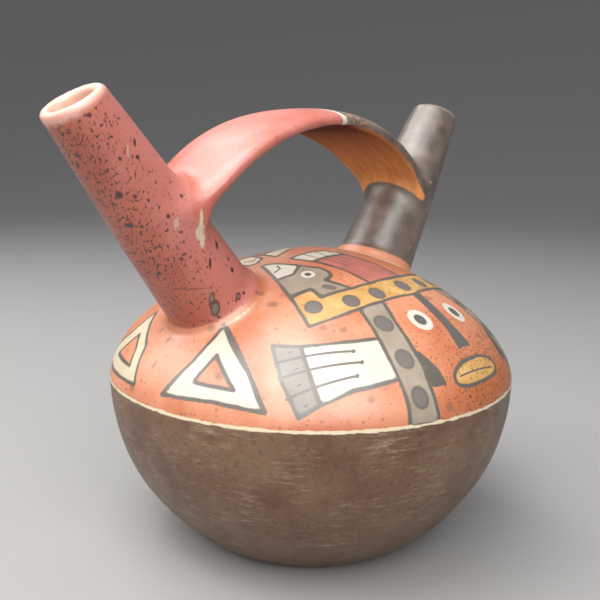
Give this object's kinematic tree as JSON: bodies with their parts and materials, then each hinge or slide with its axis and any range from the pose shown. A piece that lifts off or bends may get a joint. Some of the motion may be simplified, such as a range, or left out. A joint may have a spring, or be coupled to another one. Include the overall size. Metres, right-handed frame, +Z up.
{
  "type": "double spout and bridge vessel",
  "caption": "Squat round painted clay bottle with tapered spouts leaning outwards, joined by a flat arched strap that serves as its handle.",
  "frame": {"origin": "centre of the flat underside that the vessel stands on", "axes": "+Z up, +X from the red spout towards the dark spout, +Y away from the painted face"},
  "size_m": [0.2079, 0.16, 0.1746],
  "materials": {
    "painted_clay": "burnished coloured slips, satin"
  },
  "bodies": {
    "root": {"lower_body": "painted_clay", "shoulder": "painted_clay", "red_spout": "painted_clay", "dark_spout": "painted_clay", "strap_bridge": "painted_clay"}
  },
  "joints": []
}
